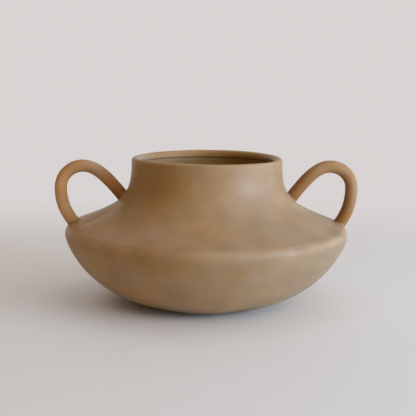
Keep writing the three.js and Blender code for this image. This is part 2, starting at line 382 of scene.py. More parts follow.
recess = FOOT_RADIUS - RING_WIDTH
boss = FOOT_RADIUS - LEDGE_WIDTH
hollow_edge = bezier(
    np.array([recess - 2 * RECESS_DEPTH, RECESS_DEPTH]),
    np.array([recess - RECESS_DEPTH, RECESS_DEPTH]),
    np.array([recess - RECESS_DEPTH, 0]),
    np.array([recess, 0]),
    HOLLOW_STEPS,
)
sponged_edge = arc(
    [FOOT_RADIUS - SPONGED_EDGE, SPONGED_EDGE],
    [SPONGED_EDGE, SPONGED_EDGE],
    -math.pi / 2,
    0,
    EDGE_STEPS,
)
turn_outline(
    "foot_slab",
    stretch([[r, RECESS_DEPTH] for r in np.linspace(0, hollow_edge[0, 0], RECESS_STEPS + 1)[:-1]]),
    stretch(hollow_edge),
    stretch(sponged_edge),
    stretch([[FOOT_RADIUS, LEDGE_HEIGHT], [boss, LEDGE_HEIGHT]]),
    stretch([[r, FLOOR_HEIGHT] for r in np.linspace(boss, 0, BOSS_STEPS + 1)]),
)

# %% [markdown]
# ## Seams between the sections
# The sections are keyed: a low V runs round the top edge of each, and the next one is grooved to sit
# over it with a film of slip between. Flat ends would do for the eye, because the keys are hidden once
# the vase is whole, but the keys make each section a true piece by itself.

# %% Keys
KEY_WIDTH = 0.0024
KEY_HEIGHT = 0.0016


def seam_key(height, gap):
    """The V across a seam, from the outside to the inside."""
    outside = np.interp(height, OUTER[:, 1], OUTER[:, 0])
    inside = np.interp(height, INNER[:, 1], INNER[:, 0])
    middle = (outside + inside) / 2
    half = KEY_WIDTH / 2
    flank = math.hypot(half, KEY_HEIGHT)
    reach = half + gap * flank / KEY_HEIGHT
    tip = KEY_HEIGHT + gap * flank / half
    return np.array([[middle + reach, height], [middle, height + tip], [middle - reach, height]])


def tongue(height):
    """The V on top of a section."""
    return stretch(seam_key(height, 0))


def groove(height):
    """The V cut into the bottom of the next section, wider by the film of slip."""
    return stretch(seam_key(height, SLIP_GAP)[::-1])


print(f"keys {1000 * KEY_WIDTH:.1f} mm wide and {1000 * KEY_HEIGHT:.1f} mm high")

# %% [markdown]
# ## Bowl, shoulder and neck
# Three sections share the one wall. They could be turned as one and cut apart, but each takes its own
# stretch of the outer and the inner line here. The lines run on unbroken from section to section, so the
# seams don't show, as on the finished vase.

# %% Wall sections
hole = boss + SLIP_GAP
turn_outline(
    "bowl_wall",
    stretch(cut_between(OUTER, foot[1], BELLY_HEIGHT), press_outside),
    tongue(BELLY_HEIGHT),
    stretch(cut_between(INNER, INNER[0, 1], BELLY_HEIGHT)[::-1], ring_inside),
    stretch([[hole, FLOOR_HEIGHT], [hole, LEDGE_HEIGHT], [foot[0], LEDGE_HEIGHT]]),
)
for name, low, high in [("shoulder_wall", BELLY_HEIGHT, NECK_SEAM), ("neck_wall", NECK_SEAM, LIP_SEAM)]:
    turn_outline(
        name,
        groove(low),
        stretch(cut_between(OUTER, low, high), press_outside),
        tongue(high),
        stretch(cut_between(INNER, low, high)[::-1], ring_inside),
    )

# %% [markdown]
# ## Lip coil
# The rim is finished with a coil. Its outer corner is crisp, its top slopes gently to the inside, and
# it is rolled in so that it hangs a little below the seam. In the photograph the roll's underside
# makes the thin dark line inside the neck. The rim isn't level: it dips a little towards the handles. A
# torus would be too round for it, so its section is drawn with an oval corner, a slope and a roll.

# %% Lip section
LIP_CORNER_WIDTH = 0.0028
LIP_CORNER_HEIGHT = 0.0038
LIP_ROLL = 0.0020
LIP_TOP_FULLNESS = 0.7
LIP_INSIDE_FULLNESS = 0.5
LIP_SIDE_STEPS, LIP_CORNER_STEPS, LIP_TOP_STEPS, LIP_ROLL_STEPS = 3, 10, 14, 8

bore = INNER[-1, 0]
corner = arc(
    [NECK_RADIUS - LIP_CORNER_WIDTH, RIM_HEIGHT - LIP_CORNER_HEIGHT],
    [LIP_CORNER_WIDTH, LIP_CORNER_HEIGHT],
    0,
    math.pi / 2,
    LIP_CORNER_STEPS,
)
crest = corner[-1, :2]
inside = np.array([bore - LIP_ROLL, LIP_SEAM + LIP_ROLL])
top_slope = bezier(
    crest,
    crest + LIP_TOP_FULLNESS * (crest[0] - inside[0]) * heading(math.pi),
    inside + LIP_INSIDE_FULLNESS * (crest[1] - inside[1]) * heading(math.pi / 2),
    inside,
    LIP_TOP_STEPS,
)
roll = arc(
    [bore, LIP_SEAM - LIP_HANG + LIP_ROLL],
    [LIP_ROLL, LIP_ROLL],
    math.pi,
    1.5 * math.pi,
    LIP_ROLL_STEPS,
)
side_heights = np.linspace(LIP_SEAM, RIM_HEIGHT - LIP_CORNER_HEIGHT, LIP_SIDE_STEPS + 1)
print(f"the lip is {1000 * (NECK_RADIUS - inside[0]):.1f} mm thick and rolls in {1000 * LIP_ROLL:.1f} mm")

# %% Lip coil
RIM_DIP = 0.0014


def press_lip(spot, out):
    """A spot of the lip, moved as the hand has pressed it, and lower towards the handles."""
    above_seam = (spot.z - LIP_SEAM) / (RIM_HEIGHT - LIP_SEAM)
    sideways = spot.x / math.hypot(spot.x, spot.y)
    return press_outside(spot, out) - Vector((0, 0, RIM_DIP * above_seam * sideways**2))


turn_outline(
    "lip_coil",
    groove(LIP_SEAM),
    stretch([[NECK_RADIUS, z, 1, 0] for z in side_heights], press_lip),
    stretch(corner[1:], press_lip),
    stretch(top_slope[1:], press_lip),
    stretch(roll),
    stretch([[bore, LIP_SEAM]]),
)

# %% [markdown]
# ## Bending the handles
# Each handle is one rolled coil, bent over by hand and set on the shoulder by its two ends. A curve
# object with a round bevel could draw it, but a coil that is swept in mesh code can thin and thicken a
# little, as rolled clay does, and it gives closed ends. First comes the middle of the coil. The two
# were bent one at a time, so each has its own lean and its own crown. Both ends run into the wall.

# %% Handle sizes
COILS = {
    "left": {
        "thickness": 0.0122,
        "lower_inset": 0.0077,
        "lower_lean": math.radians(51.3),
        "upper_offset": 0.0090,
        "upper_lean": math.radians(51.5),
        "overhang": 0.0046,
        "crown_inset": 0.0177,
        "crown_drop": 0.0101,
        "flank_drop": 0.0220,
    },
    "right": {
        "thickness": 0.0123,
        "lower_inset": 0.0071,
        "lower_lean": math.radians(52.8),
        "upper_offset": 0.0097,
        "upper_lean": math.radians(52.4),
        "overhang": 0.0044,
        "crown_inset": 0.0177,
        "crown_drop": 0.0093,
        "flank_drop": 0.0215,
    },
}
print("coils in mm:", {side: round(1000 * coil["thickness"], 1) for side, coil in COILS.items()})

# %% Handle path
LOWER_LIMB_FULLNESS = 0.36
BEND_FULLNESS = 0.4
CROWN_FULLNESS = 0.25
UPPER_LIMB_FULLNESS = 0.49
LIMB_STEPS = 40
ROOT_STEPS = 6
ROOT_DEPTH, ROOT_FULLNESS = 0.0035, 1 / 3


def limb(start, leaving, leave_fullness, end, arriving, arrive_fullness, steps=LIMB_STEPS):
    """A smooth stretch of coil that leaves and arrives along the given headings."""
    span = np.linalg.norm(end - start)
    after = start + leave_fullness * span * leaving
    before = end - arrive_fullness * span * arriving
    return bezier(start, after, before, end, steps)


def root(start, end, direction):
    """The short straight end of a coil that runs into the wall."""
    return limb(start, direction, ROOT_FULLNESS, end, direction, ROOT_FULLNESS, ROOT_STEPS)


def handle_path(coil):
    """The middle of a coil, as rows of distance from the axis, height and the direction to its right."""
    lower = BELLY_RADIUS - coil["lower_inset"]
    upper = NECK_RADIUS + coil["upper_offset"]
    lower_foot = np.array([lower, wall_height(lower)])
    upper_foot = np.array([upper, wall_height(upper)])
    crown = np.array([BELLY_RADIUS - coil["crown_inset"], RIM_HEIGHT - coil["crown_drop"]])
    flank = np.array([BELLY_RADIUS + coil["overhang"], crown[1] - coil["flank_drop"]])
    rise, fall = heading(coil["lower_lean"]), -heading(coil["upper_lean"])
    up, inwards = heading(math.pi / 2), heading(math.pi)
    return np.concatenate([
        root(lower_foot - ROOT_DEPTH * rise, lower_foot, rise)[:-1],
        limb(lower_foot, rise, LOWER_LIMB_FULLNESS, flank, up, LOWER_LIMB_FULLNESS)[:-1],
        limb(flank, up, BEND_FULLNESS, crown, inwards, BEND_FULLNESS)[:-1],
        limb(crown, inwards, CROWN_FULLNESS, upper_foot, fall, UPPER_LIMB_FULLNESS)[:-1],
        root(upper_foot, upper_foot + ROOT_DEPTH * fall, fall),
    ])


paths = {side: handle_path(coil) for side, coil in COILS.items()}
for side, path in paths.items():
    print(f"{side} coil: {1000 * np.linalg.norm(np.diff(path[:, :2], axis=0), axis=1).sum():.0f} mm long")

# %% [markdown]
# ## Rolling the coils
# A coil that is rolled by hand is never quite round, so its skin swells and sinks a little along its
# way. A Skin modifier could roll it too, but then its skin couldn't be asked for point by point, as the
# slip needs later. So rings of points are set square to the path and joined, and both ends are closed.

# %% Handles
COIL_SIDES = 40
ROLL_SCALE, ROLL_DEPTH = 48.0, 0.00022
SIDES = {"right": 1, "left": -1}


def coil_point(path, sign, thickness, row, angle):
    """A point on the skin of a coil, a number of rows along its path and an angle round it."""
    distance, height, out, rise = [np.interp(row, np.arange(len(path)), column) for column in path.T]
    centre = Vector((sign * distance, 0, height))
    ray = Vector((sign * out * math.cos(angle), math.sin(angle), rise * math.cos(angle)))
    grip = ROLL_DEPTH * noise.noise((centre + ray * thickness) * ROLL_SCALE)
    return centre + ray * (thickness / 2 + grip)


for side, sign in SIDES.items():
    path, thickness = paths[side], COILS[side]["thickness"]
    bm = bmesh.new()
    rings = []
    for row in range(len(path)):
        angles = [math.tau * i / COIL_SIDES for i in range(COIL_SIDES)]
        rings.append([bm.verts.new(coil_point(path, sign, thickness, row, angle)) for angle in angles])
    join_rings(bm, rings, closed=False)
    bm.faces.new(rings[0])
    bm.faces.new(rings[-1])
    add_piece(f"{side}_coil", bm)

# %% [markdown]
# ## Slip round the handle feet
# Where a coil meets the shoulder, the potter runs a little slip round it with a fingertip, which
# leaves a small hollow fillet. A bevel modifier can't work between two separate pieces, so the line
# where each coil meets the wall is searched for, step by step round the coil, and a thin hollow band
# is laid along it from the coil to the wall.

# %% Where coil and wall meet
HALVINGS = 30


def beside_wall(spot):
    """How far a spot lies outside the outer wall, and the direction out of the wall there."""
    flat = np.array([math.hypot(spot.x, spot.y), spot.z])
    start, side = OUTER[:-1, :2], np.diff(OUTER[:, :2], axis=0)
    share = np.clip(((flat - start) * side).sum(1) / (side * side).sum(1), 0, 1)
    gaps = np.linalg.norm(start + share[:, None] * side - flat, axis=1)
    i = gaps.argmin()
    out = OUTER[i, 2:] * (1 - share[i]) + OUTER[i + 1, 2:] * share[i]
    away = float((flat - start[i] - share[i] * side[i]) @ out)
    turn = Vector((spot.x, spot.y, 0)).normalized()
    return away, (turn * out[0] + Vector((0, 0, out[1]))).normalized()


def joint_row(path, sign, thickness, angle, buried, clear):
    """The row of its path where a coil's skin leaves the wall, between a buried and a clear row."""
    for _ in range(HALVINGS):
        middle = (buried + clear) / 2
        if beside_wall(coil_point(path, sign, thickness, middle, angle))[0] < 0:
            buried = middle
        else:
            clear = middle
    return clear


first_row = joint_row(paths["left"], SIDES["left"], COILS["left"]["thickness"], 0, 0, LIMB_STEPS)
print(f"the left coil comes out of the wall {first_row:.1f} rows along its path")

# %% Slip fillets
SLIP_WIDTH = 0.0016
SLIP_DEPTH = 0.0005
SLIP_STEPS = 6
SLIP_SIDES = 72
LOOK_AHEAD = 0.5


def slip_section(path, sign, thickness, angle, end):
    """One slice through the slip: down its hollow face from the coil to the wall, and back in the clay."""
    last = len(path) - 1
    buried, clear, way = (0, LIMB_STEPS, 1) if end == "lower" else (last, last - LIMB_STEPS, -1)
    row = joint_row(path, sign, thickness, angle, buried, clear)
    joint = coil_point(path, sign, thickness, row, angle)
    up_coil = (coil_point(path, sign, thickness, row + way * LOOK_AHEAD, angle) - joint).normalized()
    ray = (coil_point(path, sign, 2 * thickness, row, angle) - joint).normalized()
    _, out = beside_wall(joint)
    along_wall = (ray - ray.dot(out) * out).normalized()
    top = joint + SLIP_WIDTH * up_coil
    toe = joint + SLIP_WIDTH * along_wall
    gap, toe_out = beside_wall(toe)
    toe -= gap * toe_out
    shares = [step / SLIP_STEPS for step in range(SLIP_STEPS + 1)]
    hollow = [(1 - t) ** 2 * top + 2 * (1 - t) * t * joint + t * t * toe for t in shares]
    return [top - SLIP_DEPTH * ray, *hollow, toe - SLIP_DEPTH * toe_out, joint - SLIP_DEPTH * (ray + out)]


for side, sign in SIDES.items():
    path, thickness = paths[side], COILS[side]["thickness"]
    for end in ("upper", "lower"):
        angles = [math.tau * i / SLIP_SIDES for i in range(SLIP_SIDES)]
        sections = [slip_section(path, sign, thickness, angle, end) for angle in angles]
        bm = bmesh.new()
        join_rings(bm, [[bm.verts.new(spot) for spot in line] for line in zip(*sections)], closed=True)
        add_piece(f"{side}_{end}_slip", bm)

# %% [markdown]
# ## Tools for the finishes
# A finish is a small network of nodes. Each helper adds one kind of node and gives back its output, so
# that a finish reads like a recipe. Painted images could hold the clay's colour, but procedural noise on
# the object's own coordinates runs on from piece to piece and stays sharp from close by.

# %% Noise
MOST_NOISE = (0.35, 0.65)


def new_finish(name):
    """A new material, its node tree and its shader."""
    finish = bpy.data.materials.new(name)
    finish.use_nodes = True
    return finish, finish.node_tree, finish.node_tree.nodes["Principled BSDF"]


def cloud(tree, scale, detail, seed, stretched=(1, 1, 1)):
    """Cloudy noise over the object: scale is clouds per metre."""
    place = tree.nodes.new("ShaderNodeTexCoord")
    shift = tree.nodes.new("ShaderNodeMapping")
    shift.inputs["Location"].default_value = (seed, seed, seed)
    shift.inputs["Scale"].default_value = stretched
    texture = tree.nodes.new("ShaderNodeTexNoise")
    texture.inputs["Scale"].default_value = scale
    texture.inputs["Detail"].default_value = detail
    tree.links.new(place.outputs["Object"], shift.inputs["Vector"])
    tree.links.new(shift.outputs["Vector"], texture.inputs["Vector"])
    return texture.outputs["Fac"]


def spread(tree, value, low, high, to_low=0.0, to_high=1.0):
    """A value stretched softly from one range to another."""
    ranger = tree.nodes.new("ShaderNodeMapRange")
    ranger.interpolation_type = "SMOOTHSTEP"
    tree.links.new(value, ranger.inputs["Value"])
    for socket, number in zip(("From Min", "From Max", "To Min", "To Max"), (low, high, to_low, to_high)):
        ranger.inputs[socket].default_value = number
    return ranger.outputs["Result"]


print("most values of the noise lie between", *MOST_NOISE)

# %% Colour
# A Mix node has a set of sockets for each kind of data, and these are the places of those for colours.
MIX_FIRST, MIX_SECOND, MIX_RESULT = 6, 7, 2


def tint(tree, share, first, second):
    """A colour between two others; each is a colour or the output of another node."""
    mixer = tree.nodes.new("ShaderNodeMix")
    mixer.data_type = "RGBA"
    tree.links.new(share, mixer.inputs["Factor"])
    for socket, colour in ((mixer.inputs[MIX_FIRST], first), (mixer.inputs[MIX_SECOND], second)):
        if isinstance(colour, tuple):
            socket.default_value = (*colour, 1)
        else:
            tree.links.new(colour, socket)
    return mixer.outputs[MIX_RESULT]


def shade(tree, colour, value):
    """A colour made lighter or darker by a value round one."""
    lightness = tree.nodes.new("ShaderNodeHueSaturation")
    tree.links.new(colour, lightness.inputs["Color"])
    tree.links.new(value, lightness.inputs["Value"])
    return lightness.outputs["Color"]


print("helpers for colour: tint, shade")


# %% Places on the object
def reckon(tree, operation, first, second):
    """A sum of two values, or another operation on them; the second is a number or a node's output."""
    sums = tree.nodes.new("ShaderNodeMath")
    sums.operation = operation
    tree.links.new(first, sums.inputs[0])
    if isinstance(second, (int, float)):
        sums.inputs[1].default_value = second
    else:
        tree.links.new(second, sums.inputs[1])
    return sums.outputs["Value"]


def place_along(tree, axis):
    """How far a point of the object lies along one of its axes."""
    place = tree.nodes.new("ShaderNodeTexCoord")
    parts = tree.nodes.new("ShaderNodeSeparateXYZ")
    tree.links.new(place.outputs["Object"], parts.inputs["Vector"])
    return parts.outputs[axis]


def away_from(tree, spot):
    """How far a point of the object lies from a spot."""
    place = tree.nodes.new("ShaderNodeTexCoord")
    gap = tree.nodes.new("ShaderNodeVectorMath")
    gap.operation = "DISTANCE"
    gap.inputs[1].default_value = spot
    tree.links.new(place.outputs["Object"], gap.inputs[0])
    return gap.outputs["Value"]


def level_band(tree, height, near, far):
    """One in a level band round the object at a height, fading to nothing between two distances from it."""
    gap = reckon(tree, "SUBTRACT", place_along(tree, "Z"), height)
    return spread(tree, reckon(tree, "ABSOLUTE", gap, 0), near, far, 1.0, 0.0)


print("helpers for places: place_along, away_from, level_band")


# %% Relief
def relief(tree, shader, *layers):
    """Fine relief on a shader from layers of noise, each with its depth in metres."""
    normal = None
    for height, depth in layers:
        bump = tree.nodes.new("ShaderNodeBump")
        bump.inputs["Distance"].default_value = depth
        tree.links.new(height, bump.inputs["Height"])
        if normal:
            tree.links.new(normal, bump.inputs["Normal"])
        normal = bump.outputs["Normal"]
    tree.links.new(normal, shader.inputs["Normal"])


print("helper for fine relief: relief")

# %% [markdown]
# ## Fire patches and painted light
# The fire has left larger patches: smoky on the left of the neck and along the belly edge, a few smoky
# spots on the shoulder, and dusky ones on the bowl. On the shaded left of the neck and under the belly edge
# the smoky patches are partly painted shade, and the inside wall at the back gets painted shade. Pale
# patches are painted highlights inside the rim on the left, on the belly edge and on the left shoulder,
# and a dusky one on the right of the neck is a painted reflection of the window. On the handles, dark
# patches are painted shade in their corners and on their inner sides, and pale ones are painted light on
# the crowns and on the left handle's lower limb. They could be painted, but that needs an image, and noise
# can't be told where to be. So each patch is a soft ball of colour round a spot. A row holds the spot, how
# far the patch reaches, its strength in the middle and its tone.

# %% Fire patches and painted light
# Tones: smoke that is partly painted shade; a pale tone for painted highlights and light; a dusky tone for
# the bowl and for one painted reflection; a dark tone for painted shade in corners; a light tone for
# painted light.
SMOKE_AND_SHADE = (0.300, 0.154, 0.028)
PAINTED_PALE_LIGHT = (0.380, 0.285, 0.200)
DUSK_AND_REFLECTION = (0.335, 0.238, 0.158)
PAINTED_CORNER_SHADE = (0.250, 0.104, 0.022)
PAINTED_LIGHT_TONE = (0.620, 0.370, 0.185)
BODY_PATCHES_AND_PAINTED_LIGHT = [
    # Smoke on the left of the neck, partly painted shade on its shaded side.
    ((-0.062, -0.044, 0.122), 0.062, 0.80, SMOKE_AND_SHADE),
    ((-0.036, -0.064, 0.133), 0.038, 0.60, SMOKE_AND_SHADE),
    # Smoke along the belly edge, partly painted shade under it.
    ((-0.060, -0.126, 0.066), 0.028, 0.55, SMOKE_AND_SHADE),
    ((-0.092, -0.105, 0.068), 0.020, 0.35, SMOKE_AND_SHADE),
    ((-0.026, -0.135, 0.064), 0.030, 0.40, SMOKE_AND_SHADE),
    ((0.027, -0.133, 0.058), 0.016, 0.40, SMOKE_AND_SHADE),
    # Smoky spots on the shoulder.
    ((-0.042, -0.081, 0.098), 0.013, 0.30, SMOKE_AND_SHADE),
    ((-0.015, -0.088, 0.100), 0.014, 0.30, SMOKE_AND_SHADE),
    # Painted shade on the inside wall at the back.
    ((0.035, 0.060, 0.128), 0.068, 1.00, SMOKE_AND_SHADE),
    # Painted highlights: inside the rim on the left, on the belly edge and on the left shoulder.
    ((-0.066, 0.012, 0.150), 0.046, 1.00, PAINTED_PALE_LIGHT),
    ((0.027, -0.137, 0.072), 0.020, 0.50, PAINTED_PALE_LIGHT),
    ((-0.089, -0.089, 0.081), 0.026, 0.50, PAINTED_PALE_LIGHT),
    # Painted reflection of the window on the right of the neck.
    ((0.048, -0.060, 0.117), 0.036, 0.60, DUSK_AND_REFLECTION),
    # Dusky patches on the bowl.
    ((-0.003, -0.125, 0.042), 0.030, 0.50, DUSK_AND_REFLECTION),
    ((-0.065, -0.111, 0.044), 0.026, 0.40, DUSK_AND_REFLECTION),
]
COIL_PAINTED_LIGHT_AND_SHADE = [
    # Painted shade in the corners and on the inner sides of the handles.
    ((0.126, 0.000, 0.104), 0.043, 1.00, PAINTED_CORNER_SHADE),
    ((0.086, 0.000, 0.128), 0.033, 1.00, PAINTED_CORNER_SHADE),
    ((0.084, 0.000, 0.102), 0.026, 0.90, PAINTED_CORNER_SHADE),
    ((0.126, 0.000, 0.082), 0.028, 1.00, PAINTED_CORNER_SHADE),
    ((-0.108, 0.000, 0.108), 0.030, 1.00, SMOKE_AND_SHADE),
    ((-0.084, 0.000, 0.102), 0.026, 1.00, PAINTED_CORNER_SHADE),
    # Painted light on the left handle's lower limb and on the crowns of both handles.
    ((-0.137, 0.000, 0.086), 0.026, 0.60, PAINTED_LIGHT_TONE),
    ((0.160, -0.008, 0.108), 0.026, 0.70, PAINTED_PALE_LIGHT),
    ((-0.106, -0.004, 0.142), 0.024, 0.70, PAINTED_PALE_LIGHT),
]
# The patches counted here include the painted shade, highlights and reflection.
print("fire patches:", len(BODY_PATCHES_AND_PAINTED_LIGHT), "on the body and", len(COIL_PAINTED_LIGHT_AND_SHADE), "on the coils")

# %% [markdown]
# ## Satin clay
# The clay is a warm, sandy brown with a satin skin. Its colour isn't even: the surface was wiped and
# burnished by hand, so soft clouds run from ochre to a greyer taupe, lighter and darker, with faint
# streaks round the body and fine specks. The clouds turn greyer towards the right, partly in the clay and
# partly as a painted cool sheen where the window lights the vase. The belly edge and the rim get a paler
# band of painted highlight. The bowl is paler towards the foot, painted light thrown up by the floor,
# and darker right above the floor, a painted contact shadow. Two materials could be built by hand, but
# one recipe makes the skin of the body and, warmer, lighter and duller, that of the coils; their extra
# lightness is painted light against the shade that the body casts on the left handle.

# %% Colour of the clay
# The paler bands at the belly edge and the rim are painted highlights.
PAINTED_HIGHLIGHT = (0.440, 0.285, 0.155)
BELLY_PAINTED_HIGHLIGHT = (BELLY_HEIGHT + 0.003, 0.0006, 0.0035)
RIM_PAINTED_HIGHLIGHT = (RIM_HEIGHT, 0.0003, 0.0018)
# The drift towards taupe on the right is partly the clay's colour and partly painted cool sheen of the
# window.
CLAY_AND_SHEEN_DRIFT, HUE_RANGE = 2.4, (0.17, 0.83)
BLOTCH_RANGE, BLOTCH_SHADE = (0.32, 0.68), (0.925, 1.068)
STREAK_RANGE, STREAK_SHADE = (0.3, 0.7), (0.97, 1.03)
MOST_BELLY_HIGHLIGHT = 0.5
# Paler towards the foot is painted light from the floor; darker just above the floor is painted contact
# shadow.
FOOT_PAINTED_FLOOR_LIGHT = (0.008, 0.045, 1.12, 1)
FOOT_PAINTED_CONTACT_SHADE = (0.004, 0.014, 0.65, 1)
SPECK_RANGE, SPECK_STRENGTH, SPECK_SHADE = (0.66, 0.78), 0.3, 0.6


def cloudy_colour(tree, ochre, taupe, streaks, patches):
    """The uneven colour of the clay, wide clouds to fine specks, with painted light and shade laid in."""
    # Greyer towards the right: partly the clay's own colour, partly a painted cool sheen where the window
    # lights the vase.
    across = reckon(tree, "MULTIPLY", place_along(tree, "X"), CLAY_AND_SHEEN_DRIFT)
    clouds = reckon(tree, "ADD", cloud(tree, scale=20, detail=3, seed=39.5), across)
    colour = tint(tree, spread(tree, clouds, *HUE_RANGE), ochre, taupe)
    blotches = cloud(tree, scale=42, detail=3, seed=9.16)
    colour = shade(tree, colour, spread(tree, blotches, *BLOTCH_RANGE, *BLOTCH_SHADE))
    colour = shade(tree, colour, spread(tree, streaks, *STREAK_RANGE, *STREAK_SHADE))
    # The belly edge gets a band of painted highlight, broken up by noise.
    belly_highlight_breakup = spread(tree, cloud(tree, scale=60, detail=2, seed=6.4), *MOST_NOISE, 0, MOST_BELLY_HIGHLIGHT)
    colour = tint(tree, reckon(tree, "MULTIPLY", level_band(tree, *BELLY_PAINTED_HIGHLIGHT), belly_highlight_breakup), colour, PAINTED_HIGHLIGHT)
    # Fire patches, with the painted shade, highlights and reflection among them.
    for spot, reach, strength, tone in patches:
        colour = tint(tree, spread(tree, away_from(tree, spot), 0, reach, strength, 0), colour, tone)
    # The rim gets a band of painted highlight.
    colour = tint(tree, level_band(tree, *RIM_PAINTED_HIGHLIGHT), colour, PAINTED_HIGHLIGHT)
    # Painted light from the floor towards the foot, and painted contact shadow right above the floor.
    for band in (FOOT_PAINTED_FLOOR_LIGHT, FOOT_PAINTED_CONTACT_SHADE):
        colour = shade(tree, colour, spread(tree, place_along(tree, "Z"), *band))
    specks = spread(tree, cloud(tree, scale=900, detail=2, seed=5.2), *SPECK_RANGE, 0, SPECK_STRENGTH)
    return tint(tree, specks, colour, tuple(SPECK_SHADE * part for part in ochre))


# The bands printed here are the painted highlight bands.
print("heights of the worn bands in mm:", [round(1000 * band[0], 1) for band in (BELLY_PAINTED_HIGHLIGHT, RIM_PAINTED_HIGHLIGHT)])

# %% Satin clay
STREAK_STRETCH, STREAK_DEPTH, GRAIN_DEPTH = (1, 1, 6), 0.00015, 0.00005
SATIN_ROUGHNESS = (0.40, 0.52)


def satin_clay(name, ochre, taupe, patches, shine):
    """The satin skin of the fired clay, between two colours and with a strength of shine."""
    finish, tree, shader = new_finish(name)
    streaks = cloud(tree, scale=16, detail=3, seed=1.3, stretched=STREAK_STRETCH)
    dullness = spread(tree, cloud(tree, scale=30, detail=3, seed=2.2), *MOST_NOISE, *SATIN_ROUGHNESS)
    grain = cloud(tree, scale=700, detail=3, seed=2.4)
    tree.links.new(cloudy_colour(tree, ochre, taupe, streaks, patches), shader.inputs["Base Color"])
    tree.links.new(dullness, shader.inputs["Roughness"])
    shader.inputs["Specular IOR Level"].default_value = shine
    relief(tree, shader, (streaks, STREAK_DEPTH), (grain, GRAIN_DEPTH))
    print(f"{name}: {len(tree.nodes)} nodes")
    return finish


clay = satin_clay(
    "satin_clay",
    ochre=(0.386, 0.222, 0.088),
    taupe=(0.346, 0.240, 0.146),
    patches=BODY_PATCHES_AND_PAINTED_LIGHT,
    shine=0.22,
)
# The coils are warmer than the body, and lighter: painted light against the shade the body casts on the
# left handle.
coil_clay = satin_clay(
    "coil_clay",
    ochre=(0.525, 0.288, 0.122),
    taupe=(0.405, 0.244, 0.124),
    patches=COIL_PAINTED_LIGHT_AND_SHADE,
    shine=0.05,
)

# %% [markdown]
# ## Wiped clay and slip
# The underside of the slab was wiped and never burnished, so it is dry, rough and gritty. The slip round
# the handle feet was smoothed with a finger and fired a little darker than the coils. Both could use the
# body's recipe, but so little of them is seen that a few nodes of their own are enough.

# %% Wiped clay
BARE_LIGHT, BARE_DARK = (0.40, 0.265, 0.150), (0.34, 0.215, 0.115)
GRIT, GRIT_RANGE, GRIT_DEPTH = (0.24, 0.145, 0.075), (0.55, 0.75), 0.00015
WIPED_ROUGHNESS = (0.82, 0.92)

wiped, tree, shader = new_finish("wiped_clay")
wipes = spread(tree, cloud(tree, scale=40, detail=4, seed=4.4), *MOST_NOISE)
grit = spread(tree, cloud(tree, scale=1100, detail=2, seed=8.1), *GRIT_RANGE)
bare = tint(tree, wipes, BARE_LIGHT, BARE_DARK)
tree.links.new(tint(tree, grit, bare, GRIT), shader.inputs["Base Color"])
tree.links.new(spread(tree, wipes, 0, 1, *WIPED_ROUGHNESS), shader.inputs["Roughness"])
relief(tree, shader, (cloud(tree, scale=900, detail=3, seed=6.0), GRIT_DEPTH))
print(f"{wiped.name}: {len(tree.nodes)} nodes")

# %% Smoothed slip
SLIP_DARK, SLIP_LIGHT = (0.270, 0.150, 0.060), (0.315, 0.184, 0.084)
SLIP_ROUGHNESS = (0.52, 0.64)
SMEAR_DEPTH = 0.00008

slip, tree, shader = new_finish("smoothed_slip")
smear = spread(tree, cloud(tree, scale=120, detail=3, seed=2.0), *MOST_NOISE)
tree.links.new(tint(tree, smear, SLIP_DARK, SLIP_LIGHT), shader.inputs["Base Color"])
tree.links.new(spread(tree, smear, 0, 1, *SLIP_ROUGHNESS), shader.inputs["Roughness"])
relief(tree, shader, (cloud(tree, scale=500, detail=3, seed=9.0), SMEAR_DEPTH))
print(f"{slip.name}: {len(tree.nodes)} nodes")

# %% [markdown]
# ## Floor and backdrop
# The vase stands on a photographer's sweep: a pale floor that curves up into a wall, with no line between
# them. A floor and a wall would do, but their corner would show, so a line with a round bend is drawn
# and widened into one smooth sheet.

# %% Floor
FLOOR_FRONT, WALL_BACK, SWEEP_ROUND, WALL_TOP, SWEEP_HALF = -3.0, 1.6, 0.9, 3.0, 4.0
BEND_STEPS = 24

bend = [
    (WALL_BACK - SWEEP_ROUND * (1 - math.sin(a)), SWEEP_ROUND * (1 - math.cos(a)))
    for a in np.linspace(0, math.pi / 2, BEND_STEPS)
]
line = [(FLOOR_FRONT, 0.0), *bend, (WALL_BACK, WALL_TOP)]
bm = bmesh.new()
left_edge = [bm.verts.new((-SWEEP_HALF, y, z)) for y, z in line]
right_edge = [bm.verts.new((SWEEP_HALF, y, z)) for y, z in line]
for i in range(len(line) - 1):
    bm.faces.new((left_edge[i], right_edge[i], right_edge[i + 1], left_edge[i + 1]))
mesh = bpy.data.meshes.new("sweep")
bm.to_mesh(mesh)
bm.free()
mesh.shade_smooth()
sweep = bpy.data.objects.new("sweep", mesh)
scene.collection.objects.link(sweep)
sweep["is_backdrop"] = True
print(f"sweep: {2 * SWEEP_HALF:.0f} m wide and {WALL_TOP:.0f} m high, {len(mesh.polygons)} faces")

# %% [markdown]
# ## Pale paper
# Near the vase the sweep is plain paper that takes light and shadow, deepest right at the foot. A little
# way out, the eye and the reflections see a thin veil of one pale tone over it, and far out only that
# tone. Stronger lamps could even out the background too, but they would bleach the vase. This way it is
# even from every side and puts no more light on the clay.

# %% Pale paper
FLOOR_TONE = (0.80, 0.80, 0.795)
BACKDROP_TONE = (0.690, 0.655, 0.648)
PAPER_ROUGHNESS, PAPER_SHINE = 0.6, 0.2
BLEND_NEAR, BLEND_FAR = 0.25, 0.76
VEIL, VEIL_NEAR, VEIL_FAR, VEIL_SPOT = 0.18, 0.062, 0.105, (-0.02, 0, 0)


